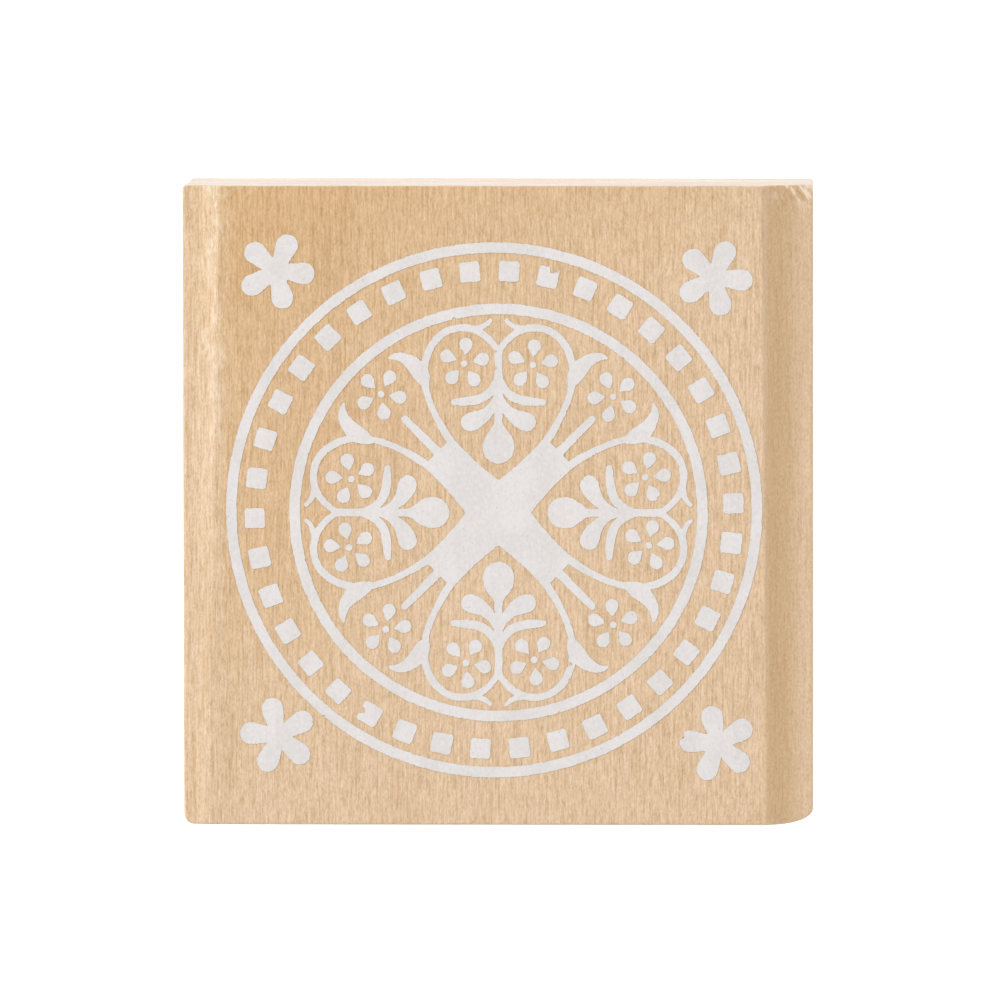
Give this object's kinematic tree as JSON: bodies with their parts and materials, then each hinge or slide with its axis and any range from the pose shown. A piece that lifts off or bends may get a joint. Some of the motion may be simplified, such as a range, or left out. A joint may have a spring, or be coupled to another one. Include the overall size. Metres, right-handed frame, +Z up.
{
  "type": "rubber stamp",
  "caption": "Square wood-mounted craft stamp: coved hardwood block, foam cushion and rubber die, with the die's rosette picture inked on the top face.",
  "frame": {"origin": "centre of the block's footprint, on the plane of the die's printing face that the stamp stands on", "axes": "+Z up to the inked top face, +Y along the wood grain to the far sawn end, +X to the right-hand cove"},
  "size_m": [0.0592, 0.06, 0.025],
  "materials": {
    "hardwood": "fine sanded, no varnish",
    "index_ink": "matt white printed ink",
    "foam": "closed-cell foam, cut edge",
    "adhesive": "clear double-sided film",
    "die_rubber": "matt moulded rubber"
  },
  "bodies": {
    "root": {"wood_block": "hardwood", "block_adhesive_film": "adhesive", "foam_cushion": "foam", "die_adhesive_film": "adhesive", "rubber_die": "die_rubber", "print_outer_ring": "index_ink", "print_inner_ring": "index_ink", "print_border_squares": "index_ink", "print_scrollwork": "index_ink", "print_small_flowers": "index_ink", "print_corner_flowers": "index_ink"}
  },
  "joints": []
}
